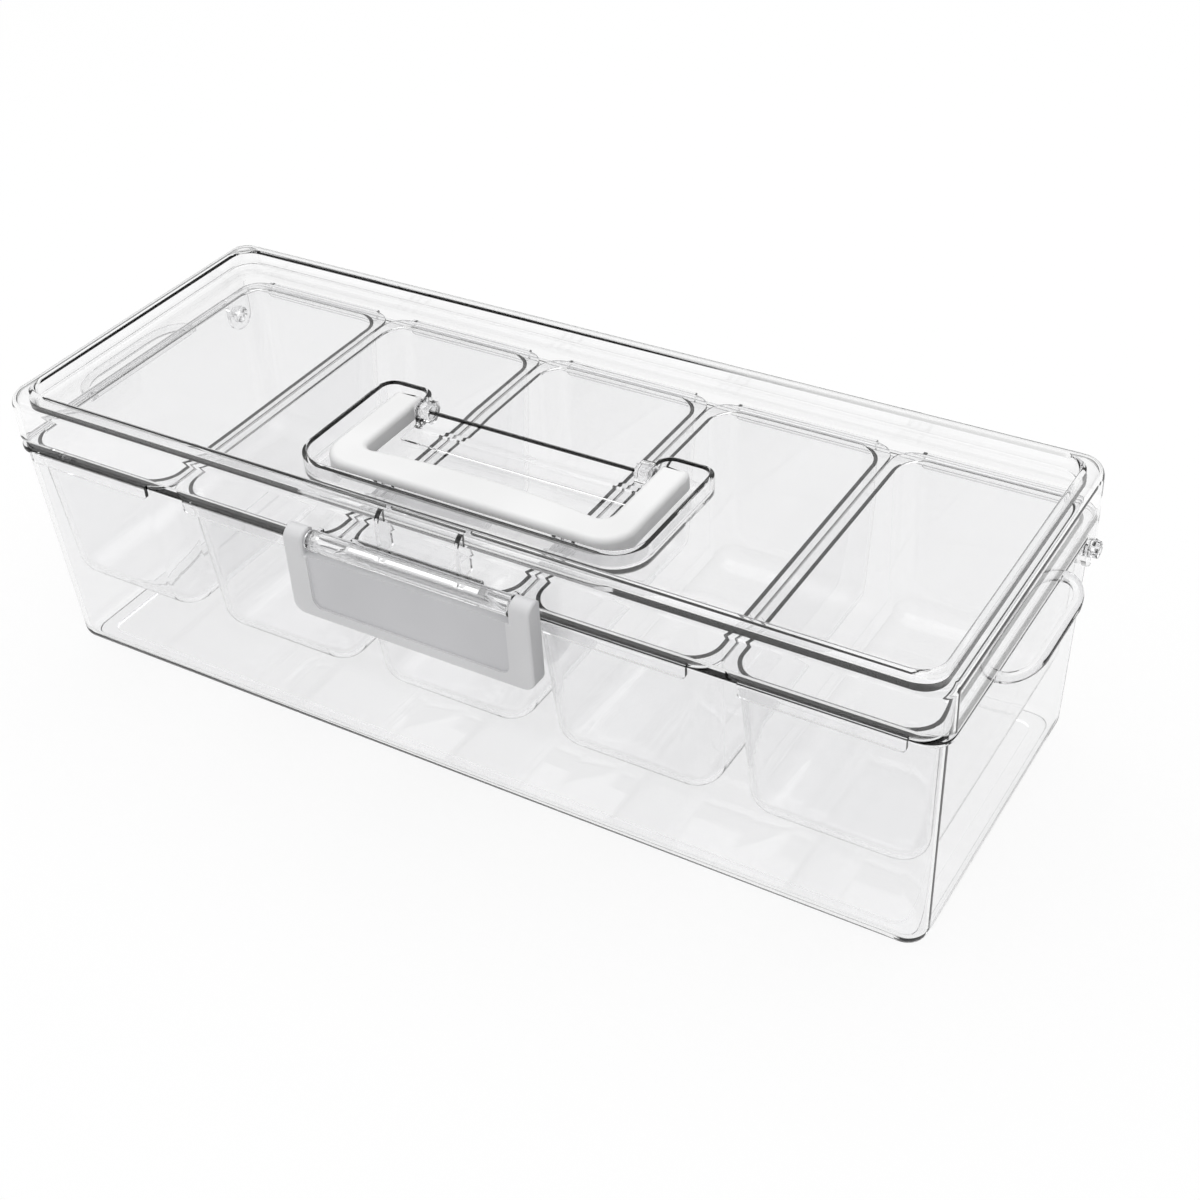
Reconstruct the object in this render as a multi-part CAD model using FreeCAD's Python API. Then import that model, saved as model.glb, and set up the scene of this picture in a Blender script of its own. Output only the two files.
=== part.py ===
import FreeCAD, Part
import math
import os
from FreeCAD import Vector

# Chilled condiment server: a clear ice tub with loop grips, five lift-out containers hung on its
# rim, a clear lid hinged on two studs, a folding carry handle and a front latch.
# Millimetres. X runs along the length, Y to the back, Z up. The pieces are drawn about the middle of
# the tub and then moved back a little, so that the origin is at the bottom centre of the whole
# object, latch and all.

# Tub
rim_length = 400.0
rim_width = 150.0
rim_height = 100.0
rim_corner = 10.0
rim_thickness = 2.2
side_overhang = 0.8
tub_wall = 2.0
wall_corner = 8.5
end_draft = 2.85
side_draft = 3.3
floor_thickness = 2.5
base_round = 5.0
inside_round = 4.0
foot_height = 1.5
foot_inset = 4.5
foot_width = 6.0
foot_corner = 8.0

# Loop grips at the tub's ends
grip_reach = 12.8
grip_span = 66.0
grip_bar = 4.2
grip_depth = 3.6
grip_bevel = 1.1

# Lid hinge
hinge_from_back = 12.5
hinge_below_rim = 10.0
stud_radius = 3.5
stud_snap = 0.35
stud_head = 2.4
stud_slot = 1.0
stud_slot_depth = 4.6
stud_in_wall = 1.5
ear_radius = 7.0
ear_end_play = 0.3
ear_wall_gap = 0.3
ear_notch_gap = 1.0
hinge_fit = 0.06
hinge_sweep_gap = 0.5

# Containers
container_count = 5
container_end_gap = 3.0
container_gap = 0.5
container_wall = 1.6
container_depth = 69.1
container_floor = 1.8
container_taper_x = 2.5
container_taper_y = 5.2
container_bottom_round = 12.0
container_wall_gap = 0.4
container_lift = 1.0
opening_corner = 10.0
flange_side = 4.6
flange_thickness = 1.5
flange_corner = 9.25
flange_seat = 0.1
skirt_thickness = 1.6
skirt_drop = 4.2
skirt_gap = 0.3
skirt_bevel = 1.6

# Lid
lid_seat = 0.3
lid_over_flange = 0.9
lid_wall = 2.2
lid_end_wall = 2.0
lid_shoulder = 6.0
bead_height = 6.0
bead_flat = 0.4
bead_lip_bevel = 1.2
bead_inner_wall = 2.0
bead_roof = 2.2
channel_bevel = 2.2
panel_thickness = 2.2
panel_corner = 9.0
ear_overlap = 6.0

# Handle pocket in the lid
pocket_length = 146.0
pocket_width = 61.5
pocket_setback = 16.9
pocket_gap = 2.6
pocket_depth = 10.0
pocket_wall = 2.0
pocket_corner = 13.0
lobe_corner = 5.0
pocket_floor_bevel = 2.4
tongue_depth = 13.0
step_width = 9.5
step_height = 0.8

# Carry handle and its pins
handle_side_gap = 7.0
handle_front_gap = 4.0
handle_drop = 0.5
handle_floor_gap = 1.7
handle_corner = 13.0
handle_inner_corner = 5.0
handle_end_corner = 3.0
handle_top_round = 2.4
handle_finger_bevel = 1.6
handle_bottom_bevel = 1.0
arm_width = 12.3
arm_gap = 1.2
arm_end_wall = 0.4
bar_width = 13.0
bar_swell = 4.0
pin_radius = 2.2
pin_fit = 0.06
pin_from_front_edge = 5.2
pin_in_arm = 6.7
pin_in_tongue = 4.5
pin_boss_wall = 1.8
pin_boss_inset = 0.5
pin_hole_end_gap = 0.5

# Latch and its axle
latch_length = 106.0
latch_drop = 32.3
latch_axis_rise = 6.3
latch_skirt_gap = 0.9
knuckle_radius = 4.6
latch_skin = 2.4
latch_wall = 2.2
latch_corner = 5.0
latch_edge_bevel = 1.0
latch_ear = 8.7
dish_border = 4.3
dish_depth = 0.8
dish_slope = 1.8
dish_corner = 4.0
axle_radius = 2.0
axle_fit = 0.06
axle_end_gap = 0.4
axle_in_ear = 6.7
barrel_radius = 4.0
barrel_lid_gap = 1.4
barrel_end_gap = 0.5
barrel_gap = 0.5
web_top = 2.2
web_half_length = 28.5
cheek_thickness = 2.8

# Latch hooks and the tub's catches
hook_length = 12.0
hook_thickness = 3.0
hook_lead = 1.0
hook_gap = 0.4
hook_below_catch = 0.5
catch_reach = 0.3
catch_below_rim = 15.6
catch_face = 1.6
catch_height = 4.2

# Ribs inside the lid's front wall
rib_center = 17.2
rib_thickness = 2.0
rib_depth = 6.8
rib_foot_gap = 0.9

# Cuts run past what they cut, and the parts of one moulding run into each other
cut_past = 1.0
merge = 0.2

# Two measures nearer than this count as one place
same_place = 0.01

# Places that follow from the sizes above
half_length = rim_length / 2
half_width = rim_width / 2
end_overhang = lid_end_wall + ear_wall_gap
wall_half_x = half_length - end_overhang
wall_half_y = half_width - side_overhang
hinge_y = half_width - hinge_from_back
hinge_z = rim_height - hinge_below_rim
container_pitch = (rim_length - 2 * container_end_gap + container_gap) / container_count
flange_half = (container_pitch - container_gap) / 2
flange_bottom = rim_height + flange_seat
flange_top = flange_bottom + flange_thickness
lifted_top = flange_top + container_lift
skirt_half = flange_half - flange_corner
skirt_inner = half_width + skirt_gap
skirt_outer = skirt_inner + skirt_thickness
opening_half_x = flange_half - flange_side
opening_half_y = wall_half_y - tub_wall - container_wall_gap - container_wall
container_bottom = flange_top - container_depth
lid_inner_x = half_length - lid_end_wall
lid_inner_y = half_width - lid_wall
lid_inner_corner = rim_corner - lid_end_wall
lid_bottom = rim_height + lid_seat
lid_front_bottom = lifted_top + lid_over_flange
pocket_floor = lifted_top + pocket_gap + pocket_wall
panel_top = pocket_floor + pocket_depth
panel_under = panel_top - panel_thickness
lid_top = panel_top + bead_height
bead_width = lid_shoulder + bead_flat + bead_lip_bevel
panel_half_x = half_length - bead_width
panel_half_y = half_width - bead_width
channel_x = panel_half_x + bead_inner_wall
channel_y = panel_half_y + bead_inner_wall
channel_top = lid_top - bead_roof
pocket_front = pocket_setback - panel_half_y
pocket_back = pocket_front + pocket_width
tongue_front = pocket_back - tongue_depth
arm_outer = pocket_length / 2 - handle_side_gap
arm_inner = arm_outer - arm_width
tongue_side = arm_inner - arm_gap
handle_top = panel_top - handle_drop
handle_bottom = pocket_floor + handle_floor_gap
handle_thickness = handle_top - handle_bottom
handle_front = pocket_front + handle_front_gap
pin_y = tongue_front + pin_from_front_edge
pin_z = (handle_top + handle_bottom) / 2
pin_inner_end = tongue_side - pocket_wall - pin_in_tongue
arm_end = pin_y + handle_thickness / 2 + arm_end_wall
latch_axis_y = -half_width - barrel_lid_gap - barrel_radius
latch_axis_z = rim_height + latch_axis_rise
latch_front = latch_axis_y - knuckle_radius
latch_back = -skirt_outer - latch_skirt_gap
latch_bottom = latch_axis_z - latch_drop
latch_panel_top = latch_axis_z - barrel_radius - barrel_gap
latch_half = latch_length / 2
latch_ear_inner = latch_half - latch_ear
barrel_half = latch_ear_inner - barrel_end_gap
hook_center = container_pitch / 2
catch_bottom = rim_height - catch_below_rim
catch_front = -half_width - catch_reach
hook_tip = catch_front - hook_gap
hook_top = catch_bottom - hook_below_catch
to_middle = Vector(0, -(latch_front + skirt_outer) / 2, 0)


def outline(half_x, half_y, radius, z, center_x=0.0):
    """Rounded rectangle as one closed wire of four lines and four arcs."""
    corners = ((1, 1), (-1, 1), (-1, -1), (1, -1))
    edges = []
    ends = []
    for index, (sx, sy) in enumerate(corners):
        cx = center_x + sx * (half_x - radius)
        cy = sy * (half_y - radius)
        start = math.radians(90 * index)
        points = []
        for share in (0.0, 0.5, 1.0):
            angle = start + share * math.pi / 2
            points.append(Vector(cx + radius * math.cos(angle), cy + radius * math.sin(angle), z))
        if ends:
            edges.append(Part.LineSegment(ends[-1], points[0]).toShape())
        edges.append(Part.Arc(*points).toShape())
        ends += [points[0], points[-1]]
    edges.append(Part.LineSegment(ends[-1], ends[0]).toShape())
    return Part.Wire(edges)


def prism(wire, height):
    return Part.Face(wire).extrude(Vector(0, 0, height))


def block(x0, x1, y0, y1, z0, z1):
    return Part.makeBox(x1 - x0, y1 - y0, z1 - z0, Vector(x0, y0, z0))


def slab(bottom, top, side, bottom_round):
    """Drafted profile of one pair of sides, carried straight across the other pair."""
    across = 2 * max(top[0], top[1]) + 2 * cut_past
    corners = [Vector(0, -bottom[side], bottom[2]), Vector(0, bottom[side], bottom[2]),
               Vector(0, top[side], top[2]), Vector(0, -top[side], top[2])]
    solid = Part.Face(Part.makePolygon(corners + corners[:1])).extrude(Vector(across, 0, 0))
    solid.translate(Vector(-across / 2, 0, 0))
    if bottom_round:
        low = level_edges(solid, bottom[2])
        solid = solid.makeFillet(bottom_round, [edge for edge in low if edge.BoundBox.YLength < same_place])
    if side == 0:
        solid.rotate(Vector(0, 0, 0), Vector(0, 0, 1), 90)
    return solid


def tapered_box(bottom, top, corner, bottom_round):
    """Drafted box from bottom to top, each as (half_x, half_y, z), with round upright corners and a
    lower edge rounded straight along each side."""
    box = slab(bottom, top, 0, 0).common(slab(bottom, top, 1, 0))
    box = box.makeFillet(corner, [edge for edge in box.Edges if edge.BoundBox.ZLength > same_place])
    for side in (0, 1):
        box = box.common(slab(bottom, top, side, bottom_round))
    return box


def rod(radius, x0, x1, y, z):
    low = min(x0, x1)
    return Part.makeCylinder(radius, abs(x1 - x0), Vector(low, y, z), Vector(1, 0, 0))


def side_profile(points, x0, x1):
    """Prism along X of a closed polygon of (y, z) points."""
    corners = [Vector(x0, y, z) for y, z in points]
    face = Part.Face(Part.makePolygon(corners + corners[:1]))
    return face.extrude(Vector(x1 - x0, 0, 0))


def level_edges(shape, z):
    """Edges that lie flat at one height."""
    flat = []
    for edge in shape.Edges:
        box = edge.BoundBox
        if abs(box.ZMin - z) < same_place and abs(box.ZMax - z) < same_place:
            flat.append(edge)
    return flat


def edges_within(edges, half_x, half_y):
    """Those edges that lie inside a rectangle about the middle."""
    inside = []
    for edge in edges:
        box = edge.BoundBox
        reach_x = max(abs(box.XMin), abs(box.XMax))
        reach_y = max(abs(box.YMin), abs(box.YMax))
        if reach_x < half_x + same_place and reach_y < half_y + same_place:
            inside.append(edge)
    return inside


def upright_edges(shape, places):
    """Straight upright edges that stand at the given (x, y) places."""
    found = []
    for edge in shape.Edges:
        box = edge.BoundBox
        if box.XLength < same_place and box.YLength < same_place:
            for x, y in places:
                if abs(box.XMin - x) < same_place and abs(box.YMin - y) < same_place:
                    found.append(edge)
    return found


def mirrored(shape):
    return shape.mirror(Vector(0, 0, 0), Vector(1, 0, 0))


def grip_prism(reach, half_span, root):
    """D-shaped plate past the rim at the +X end, from root outwards."""
    bend_y = half_span - reach
    turn = reach * math.sqrt(0.5)
    low = [Vector(half_length, -half_span, 0), Vector(half_length + turn, -bend_y - turn, 0),
           Vector(half_length + reach, -bend_y, 0)]
    high = [Vector(half_length + reach, bend_y, 0), Vector(half_length + turn, bend_y + turn, 0),
            Vector(half_length, half_span, 0)]
    near = Vector(root, half_span, 0)
    far = Vector(root, -half_span, 0)
    plate = prism(Part.Wire([Part.Arc(*low).toShape(), Part.LineSegment(low[-1], high[0]).toShape(),
                             Part.Arc(*high).toShape(), Part.LineSegment(high[-1], near).toShape(),
                             Part.LineSegment(near, far).toShape(),
                             Part.LineSegment(far, low[0]).toShape()]), grip_depth)
    plate.translate(Vector(0, 0, rim_height - grip_depth))
    return plate


def make_grip():
    """Flat D-shaped loop past the rim at the +X end."""
    past_rim = block(half_length, half_length + grip_reach, -grip_span, grip_span, 0, rim_height + cut_past)
    opening = grip_prism(grip_reach - grip_bar, grip_span / 2 - grip_bar, wall_half_x).common(past_rim)
    loop = grip_prism(grip_reach, grip_span / 2, wall_half_x).cut(opening)
    rounded = []
    for z in (rim_height, rim_height - grip_depth):
        for edge in level_edges(loop, z):
            if edge.BoundBox.XMax > half_length + grip_bevel:
                rounded.append(edge)
    return loop.makeChamfer(grip_bevel, rounded)


def make_stud():
    """Split snap stud on the +X end wall, along X."""
    neck_end = half_length + ear_end_play
    tip = neck_end + stud_head
    head_radius = stud_radius + stud_snap
    head = Part.makeCone(head_radius, stud_radius - stud_snap, stud_head,
                         Vector(neck_end, hinge_y, hinge_z), Vector(1, 0, 0))
    stud = rod(stud_radius, wall_half_x - stud_in_wall, tip, hinge_y, hinge_z).fuse(head)
    reach = head_radius + cut_past
    half_slot = stud_slot / 2
    upright = block(tip - stud_slot_depth, tip + cut_past, hinge_y - half_slot, hinge_y + half_slot,
                    hinge_z - reach, hinge_z + reach)
    level = block(tip - stud_slot_depth, tip + cut_past, hinge_y - reach, hinge_y + reach,
                  hinge_z - half_slot, hinge_z + half_slot)
    return stud.cut([upright, level])


def make_catch(center_x):
    """Small ledge under the tub's front rim that a latch hook passes."""
    root = tub_wall - wall_half_y
    points = [(root, catch_bottom), (catch_front, catch_bottom), (catch_front, catch_bottom + catch_face),
              (root, catch_bottom + catch_height)]
    return side_profile(points, center_x - hook_length / 2, center_x + hook_length / 2)


def make_tub():
    foot_x = wall_half_x - end_draft
    foot_y = wall_half_y - side_draft
    outer = tapered_box((foot_x, foot_y, foot_height), (wall_half_x, wall_half_y, rim_height),
                        wall_corner, base_round)
    rim = prism(outline(half_length, half_width, rim_corner, rim_height - rim_thickness), rim_thickness)
    notch = block(wall_half_x, half_length + cut_past, hinge_y - ear_radius - ear_notch_gap,
                  half_width + cut_past, rim_height - rim_thickness - cut_past, rim_height + cut_past)
    rim = rim.cut([notch, mirrored(notch)])

    ring_x = foot_x - foot_inset
    ring_y = foot_y - foot_inset
    ring = prism(outline(ring_x, ring_y, foot_corner, 0), foot_height + floor_thickness / 2)
    hollow = prism(outline(ring_x - foot_width, ring_y - foot_width, foot_corner - foot_width / 2, 0),
                   foot_height)

    floor_top = foot_height + floor_thickness
    draft_left = 1 - floor_thickness / (rim_height - foot_height)
    inside = tapered_box((wall_half_x - end_draft * draft_left - tub_wall,
                          wall_half_y - side_draft * draft_left - tub_wall, floor_top),
                         (wall_half_x - tub_wall, wall_half_y - tub_wall, rim_height),
                         wall_corner - tub_wall, inside_round)

    grip = make_grip()
    stud = make_stud()
    tub = outer.fuse([rim, ring, grip, mirrored(grip), make_catch(-hook_center), make_catch(hook_center)])
    return tub.cut([inside, hollow]).fuse([stud, mirrored(stud)]).removeSplitter()


def make_skirt(center_x):
    """Lip that hooks over the tub's back rim, with its bridge into the flange."""
    low = rim_height - skirt_drop
    skirt = block(center_x - skirt_half, center_x + skirt_half, skirt_inner, skirt_outer, low, flange_top)
    ends = [edge for edge in level_edges(skirt, low) if edge.BoundBox.XLength < same_place]
    skirt = skirt.makeChamfer(skirt_bevel, ends)
    bridge = block(center_x - skirt_half, center_x + skirt_half, half_width - flange_corner / 2, skirt_outer,
                   flange_bottom, flange_top)
    return skirt.fuse(bridge)


def make_container(center_x):
    top_x = opening_half_x + container_wall
    top_y = opening_half_y + container_wall
    outer = tapered_box((top_x - container_taper_x, top_y - container_taper_y, container_bottom),
                        (top_x, top_y, flange_top), opening_corner + container_wall, container_bottom_round)
    draft_left = 1 - container_floor / container_depth
    inside = tapered_box((opening_half_x - container_taper_x * draft_left,
                          opening_half_y - container_taper_y * draft_left, container_bottom + container_floor),
                         (opening_half_x, opening_half_y, flange_top),
                         opening_corner, container_bottom_round - container_wall)
    for box in (outer, inside):
        box.translate(Vector(center_x, 0, 0))
    flange = prism(outline(flange_half, half_width, flange_corner, flange_bottom, center_x), flange_thickness)
    skirt = make_skirt(center_x)
    front_skirt = skirt.mirror(Vector(0, 0, 0), Vector(0, 1, 0))
    return outer.fuse([flange, skirt, front_skirt]).cut(inside).removeSplitter()


def pocket_plan(grow, z, height):
    """The pocket's plan, a rectangle with a tongue cut into its back, grown outwards."""
    half = pocket_length / 2 + grow
    front = pocket_front - grow
    back = pocket_back + grow
    side = tongue_side - grow
    solid = block(-half, half, front, back, z, z + height)
    solid = solid.cut(block(-side, side, tongue_front + grow, back + cut_past, z - cut_past,
                            z + height + cut_past))
    solid = solid.makeFillet(pocket_corner + grow, upright_edges(solid, [(-half, front), (half, front)]))
    return solid.makeFillet(lobe_corner + grow, upright_edges(solid, [(-half, back), (half, back)]))


def make_latch_rail():
    """Barrel and webs on the lid's front wall that carry the latch's axle."""
    barrel = rod(barrel_radius, -barrel_half, barrel_half, latch_axis_y, latch_axis_z)
    webs = []
    for x0, x1 in ((-web_half_length, web_half_length), (barrel_half - cheek_thickness, barrel_half),
                   (-barrel_half, cheek_thickness - barrel_half)):
        webs.append(block(x0, x1, latch_axis_y, lid_wall / 2 - half_width, lid_front_bottom,
                          latch_axis_z + web_top))
    return barrel.fuse(webs)


def make_lid_shell():
    """Raised bead round a sunk panel, with the bead hollow from below."""
    shell = prism(outline(half_length, half_width, rim_corner, lid_bottom), lid_top - lid_bottom)
    shell = shell.makeFillet(lid_shoulder, level_edges(shell, lid_top))
    shell = shell.cut(prism(outline(panel_half_x, panel_half_y, panel_corner, panel_top),
                            bead_height + cut_past))
    lip = edges_within(level_edges(shell, lid_top), panel_half_x, panel_half_y)
    shell = shell.makeChamfer(bead_lip_bevel, lip)

    inside = prism(outline(lid_inner_x, lid_inner_y, lid_inner_corner, lid_bottom - cut_past),
                   panel_under - lid_bottom + cut_past)
    channel = prism(outline(lid_inner_x, lid_inner_y, lid_inner_corner, panel_under - merge),
                    channel_top - panel_under + merge)
    channel = channel.makeChamfer(channel_bevel, level_edges(channel, channel_top))
    core = prism(outline(channel_x, channel_y, panel_corner, panel_under - cut_past),
                 lid_top - panel_under + cut_past)
    shell = shell.cut([inside, channel.cut(core)])

    front_corner = half_width - rim_corner
    past_x = half_length + cut_past
    past_y = half_width + cut_past
    for y0, y1 in ((-past_y, -front_corner), (front_corner, past_y)):
        shell = shell.cut(block(-past_x, past_x, y0, y1, lid_bottom - cut_past, lid_front_bottom))
    sweep = math.hypot(skirt_outer - hinge_y, lifted_top - hinge_z) + hinge_sweep_gap
    return shell.cut(rod(sweep, -lid_inner_x, lid_inner_x, hinge_y, hinge_z))


def make_ear():
    """Hinge ear that hangs from the lid's +X end wall."""
    envelope = prism(outline(half_length, half_width, rim_corner, 0), lid_top)
    ear = block(lid_inner_x, half_length, hinge_y - ear_radius, hinge_y + ear_radius, hinge_z,
                lid_bottom + ear_overlap)
    return ear.fuse(rod(ear_radius, lid_inner_x, half_length, hinge_y, hinge_z)).common(envelope)


def make_rib(center_x):
    """Stiffening rib behind the lid's front wall, carried up into the bead."""
    x0 = center_x - rib_thickness / 2
    x1 = center_x + rib_thickness / 2
    front = -lid_inner_y - merge
    foot = block(x0, x1, front, rib_depth - lid_inner_y, lid_front_bottom + rib_foot_gap, panel_under + merge)
    return foot.fuse(block(x0, x1, front, merge - channel_y, panel_under, channel_top + merge))


def make_lid():
    ear = make_ear()
    additions = [pocket_plan(pocket_wall, pocket_floor - pocket_wall, pocket_depth + pocket_wall / 2),
                 ear, mirrored(ear), make_latch_rail(), make_rib(-rib_center), make_rib(rib_center)]
    for side in (-1, 1):
        additions.append(rod(pin_radius + pin_boss_wall, side * pin_inner_end,
                             side * (tongue_side - pin_boss_inset), pin_y, pin_z))
    lid = make_lid_shell().fuse(additions)

    cavity = pocket_plan(0, pocket_floor, pocket_depth + cut_past)
    cavity = cavity.makeChamfer(pocket_floor_bevel, level_edges(cavity, pocket_floor))
    step = block(-tongue_side, tongue_side, tongue_front - step_width, tongue_front, pocket_floor - cut_past,
                 pocket_floor + step_height)
    past_x = half_length + cut_past
    cuts = [cavity.cut(step), rod(stud_radius + hinge_fit, -past_x, past_x, hinge_y, hinge_z),
            rod(axle_radius, -barrel_half - cut_past, barrel_half + cut_past, latch_axis_y, latch_axis_z)]
    for side in (-1, 1):
        cuts.append(rod(pin_radius, side * (pin_inner_end - cut_past), side * (tongue_side + cut_past),
                        pin_y, pin_z))
    return lid.cut(cuts).removeSplitter()


def make_handle():
    bar_back = handle_front + bar_width
    left = Vector(-arm_inner, bar_back, handle_bottom)
    right = Vector(arm_inner, bar_back, handle_bottom)
    swell = Vector(0, bar_back + bar_swell, handle_bottom)
    left_end = Vector(-arm_inner, arm_end + cut_past, handle_bottom)
    right_end = Vector(arm_inner, arm_end + cut_past, handle_bottom)
    gap = Part.Wire([Part.LineSegment(left_end, left).toShape(), Part.Arc(left, swell, right).toShape(),
                     Part.LineSegment(right, right_end).toShape(),
                     Part.LineSegment(right_end, left_end).toShape()])
    handle = block(-arm_outer, arm_outer, handle_front, arm_end, handle_bottom, handle_top)
    handle = handle.cut(prism(gap, handle_thickness))
    for radius, x, y in ((handle_corner, arm_outer, handle_front), (handle_inner_corner, arm_inner, bar_back),
                         (handle_end_corner, arm_outer, arm_end)):
        handle = handle.makeFillet(radius, upright_edges(handle, [(-x, y), (x, y)]))
    finger_edges = []
    outer_edges = []
    for edge in level_edges(handle, handle_top):
        box = edge.BoundBox
        between_arms = max(abs(box.XMin), abs(box.XMax)) < arm_inner + same_place
        if between_arms and box.YMin > handle_front + same_place:
            finger_edges.append(edge)
        else:
            outer_edges.append(edge)
    handle = handle.makeFillet(handle_top_round, outer_edges)
    finger_edges = [edge for edge in level_edges(handle, handle_top)
                    if any(edge.isSame(other) for other in finger_edges)]
    handle = handle.makeChamfer(handle_finger_bevel, finger_edges)
    handle = handle.makeChamfer(handle_bottom_bevel, level_edges(handle, handle_bottom))
    holes = [rod(pin_radius + pin_fit, side * (arm_inner - cut_past),
                 side * (arm_inner + pin_in_arm + pin_hole_end_gap), pin_y, pin_z) for side in (-1, 1)]
    return handle.cut(holes)


def make_handle_pin(side):
    return rod(pin_radius, side * pin_inner_end, side * (arm_inner + pin_in_arm), pin_y, pin_z)


def dish_outline(half, low, radius, y):
    """Open-topped dish on the latch's face, round at its two lower corners."""
    high = latch_panel_top + cut_past
    turn = radius * (1 - math.sqrt(0.5))
    left_top = Vector(-half, y, high)
    left = [Vector(-half, y, low + radius), Vector(turn - half, y, low + turn), Vector(radius - half, y, low)]
    right = [Vector(half - radius, y, low), Vector(half - turn, y, low + turn), Vector(half, y, low + radius)]
    right_top = Vector(half, y, high)
    return Part.Wire([Part.LineSegment(left_top, left[0]).toShape(), Part.Arc(*left).toShape(),
                      Part.LineSegment(left[-1], right[0]).toShape(), Part.Arc(*right).toShape(),
                      Part.LineSegment(right[-1], right_top).toShape(),
                      Part.LineSegment(right_top, left_top).toShape()])


def make_hook(center_x):
    """Hook inside the latch that passes under one of the tub's catches."""
    root = latch_front + latch_skin
    low = hook_top - hook_thickness
    points = [(root, low), (hook_tip - hook_lead, low), (hook_tip, low + hook_lead), (hook_tip, hook_top),
              (root, hook_top)]
    return side_profile(points, center_x - hook_length / 2, center_x + hook_length / 2)


def make_latch():
    past_x = latch_half + cut_past
    front_past = latch_front - cut_past
    back_past = latch_back + cut_past
    top = latch_axis_z + knuckle_radius
    plate = block(-latch_half, latch_half, latch_front, latch_back, latch_bottom, top)
    low_corners = [edge for edge in level_edges(plate, latch_bottom) if edge.BoundBox.XLength < same_place]
    plate = plate.makeFillet(latch_corner, low_corners)
    below = block(-past_x, past_x, front_past, back_past, latch_bottom - cut_past, latch_axis_z)
    plate = plate.common(below.fuse(rod(knuckle_radius, -past_x, past_x, latch_axis_y, latch_axis_z)))
    plate = plate.cut(block(-latch_ear_inner, latch_ear_inner, front_past, back_past, latch_panel_top,
                            top + cut_past))
    front_edges = []
    for edge in plate.Edges:
        box = edge.BoundBox
        at_side = max(abs(box.XMin), abs(box.XMax)) > latch_half - same_place
        at_foot = box.ZMax < latch_bottom + latch_corner
        if box.YMax < latch_front + same_place and (at_side or at_foot):
            front_edges.append(edge)
    plate = plate.makeChamfer(latch_edge_bevel, front_edges)

    dish_low = latch_bottom + dish_border
    dish = Part.makeLoft([dish_outline(latch_ear_inner, dish_low, dish_corner, latch_front - same_place),
                          dish_outline(latch_ear_inner - dish_slope, dish_low + dish_slope,
                                       dish_corner - dish_slope / 2, latch_front + dish_depth)], True, True)
    hollow = block(latch_wall - latch_half, latch_half - latch_wall, latch_front + latch_skin + dish_depth,
                   back_past, latch_bottom + latch_wall, latch_panel_top - latch_wall)
    plate = plate.cut([dish, hollow]).fuse([make_hook(-hook_center), make_hook(hook_center)])
    holes = [rod(axle_radius + axle_fit, side * (latch_ear_inner - cut_past),
                 side * (latch_ear_inner + axle_in_ear + axle_end_gap), latch_axis_y, latch_axis_z)
             for side in (-1, 1)]
    return plate.cut(holes).removeSplitter()


def make_axle():
    reach = latch_ear_inner + axle_in_ear
    return rod(axle_radius, -reach, reach, latch_axis_y, latch_axis_z)


def build():
    pieces = {
        "base_tub": make_tub(),
        "lid": make_lid(),
        "carry_handle": make_handle(),
        "handle_pin_left": make_handle_pin(-1),
        "handle_pin_right": make_handle_pin(1),
        "latch_plate": make_latch(),
        "latch_axle": make_axle(),
    }
    for index in range(container_count):
        center_x = (index - (container_count - 1) / 2) * container_pitch
        pieces["container_%d" % (index + 1)] = make_container(center_x)
    return pieces


os.makedirs("parts", exist_ok=True)
for name, shape in build().items():
    shape.translate(to_middle)
    shape.exportStep("parts/%s.step" % name)
    box = shape.BoundBox
    print("%-17s solids %d valid %s volume %9.1f  x %.1f %.1f  y %.1f %.1f  z %.1f %.1f" % (
        name, len(shape.Solids), shape.isValid(), shape.Volume,
        box.XMin, box.XMax, box.YMin, box.YMax, box.ZMin, box.ZMax))
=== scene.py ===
import bpy
import bmesh
import math
from mathutils import Matrix


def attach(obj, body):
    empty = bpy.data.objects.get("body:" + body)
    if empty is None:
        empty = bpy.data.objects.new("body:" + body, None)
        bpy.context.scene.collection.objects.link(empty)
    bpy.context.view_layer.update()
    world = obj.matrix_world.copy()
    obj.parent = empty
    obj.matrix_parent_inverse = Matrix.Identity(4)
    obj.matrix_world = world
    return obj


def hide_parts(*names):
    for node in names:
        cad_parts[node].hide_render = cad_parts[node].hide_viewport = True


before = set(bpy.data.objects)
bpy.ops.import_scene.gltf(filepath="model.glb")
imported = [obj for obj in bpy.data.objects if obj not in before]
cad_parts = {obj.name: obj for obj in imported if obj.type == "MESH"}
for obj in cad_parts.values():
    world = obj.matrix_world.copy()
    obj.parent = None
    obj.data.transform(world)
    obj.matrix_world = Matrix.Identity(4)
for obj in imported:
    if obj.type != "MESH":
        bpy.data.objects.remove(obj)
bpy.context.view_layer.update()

scene = bpy.context.scene
scene.view_settings.view_transform = "Standard"

mm = 0.001
middle = 4.05  # pieces are drawn about the tub's middle, which lies this far behind the object's origin
slack = 0.02  # places closer than this count as the same, in mm
weld = 0.002  # corners closer than this become one, in mm
lap = 1.0  # joins and cutters run this far past the faces that they meet, in mm
crease = math.radians(20)  # after a cut, only edges whose faces meet at more than this are rounded
upright = {"rise": 1.0, "lean": 9.0}  # an upright edge rises more and leans less than this, in mm


# Block between two corners, in mm
def block(low, high):
    bm = bmesh.new()
    bmesh.ops.create_cube(bm, size=1.0)
    bmesh.ops.scale(bm, vec=[b - a for a, b in zip(low, high)], verts=bm.verts)
    bmesh.ops.translate(bm, vec=[(a + b) / 2 for a, b in zip(low, high)], verts=bm.verts)
    return bm


def centred(halfX, halfY, z0, z1):
    return block((-halfX, -halfY, z0), (halfX, halfY, z1))


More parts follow.
